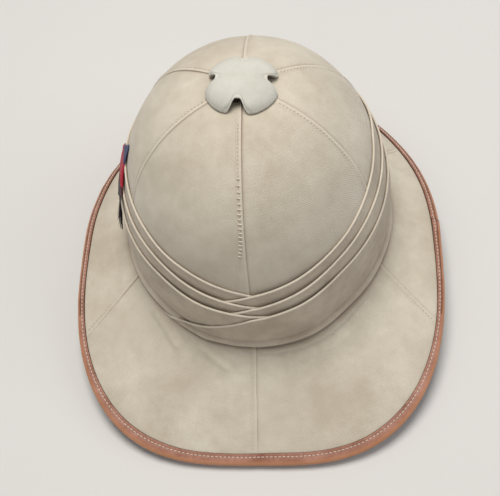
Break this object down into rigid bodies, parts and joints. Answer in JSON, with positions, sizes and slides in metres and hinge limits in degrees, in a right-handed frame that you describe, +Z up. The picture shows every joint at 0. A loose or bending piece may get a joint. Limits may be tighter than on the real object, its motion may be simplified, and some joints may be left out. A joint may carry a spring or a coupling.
{
  "type": "pith helmet",
  "caption": "Cloth-covered pith helmet with a broad drooping brim bound in leather, a pleated cotton band crossed at the back, a domed ventilator cap and a striped flash.",
  "frame": {"origin": "middle of the footprint, on the surface that the helmet stands on", "axes": "+Z up, -Y to the front of the helmet, +X to the wearer's left"},
  "size_m": [0.2854, 0.3625, 0.2058],
  "materials": {
    "shell_lining": "plain cotton",
    "cover_cloth": "cotton drill",
    "pleated_cotton": "folded twill",
    "cap_cloth": "whitened cotton",
    "leather_binding": "tan, worn",
    "flash_cloth": "striped wool"
  },
  "bodies": {
    "root": {"brim_cover_1": "cover_cloth", "brim_cover_2": "cover_cloth", "brim_cover_3": "cover_cloth", "brim_cover_4": "cover_cloth", "brim_cover_5": "cover_cloth", "brim_cover_6": "cover_cloth", "cork_shell": "shell_lining", "crown_gore_1": "cover_cloth", "crown_gore_2": "cover_cloth", "crown_gore_3": "cover_cloth", "crown_gore_4": "cover_cloth", "crown_gore_5": "cover_cloth", "crown_gore_6": "cover_cloth", "edge_binding": "leather_binding", "flash": "flash_cloth", "pleat_left_1": "pleated_cotton", "pleat_left_2": "pleated_cotton", "pleat_left_3": "pleated_cotton", "pleat_right_1": "pleated_cotton", "pleat_right_2": "pleated_cotton", "pleat_right_3": "pleated_cotton", "ventilator_cap": "cap_cloth"}
  },
  "joints": []
}
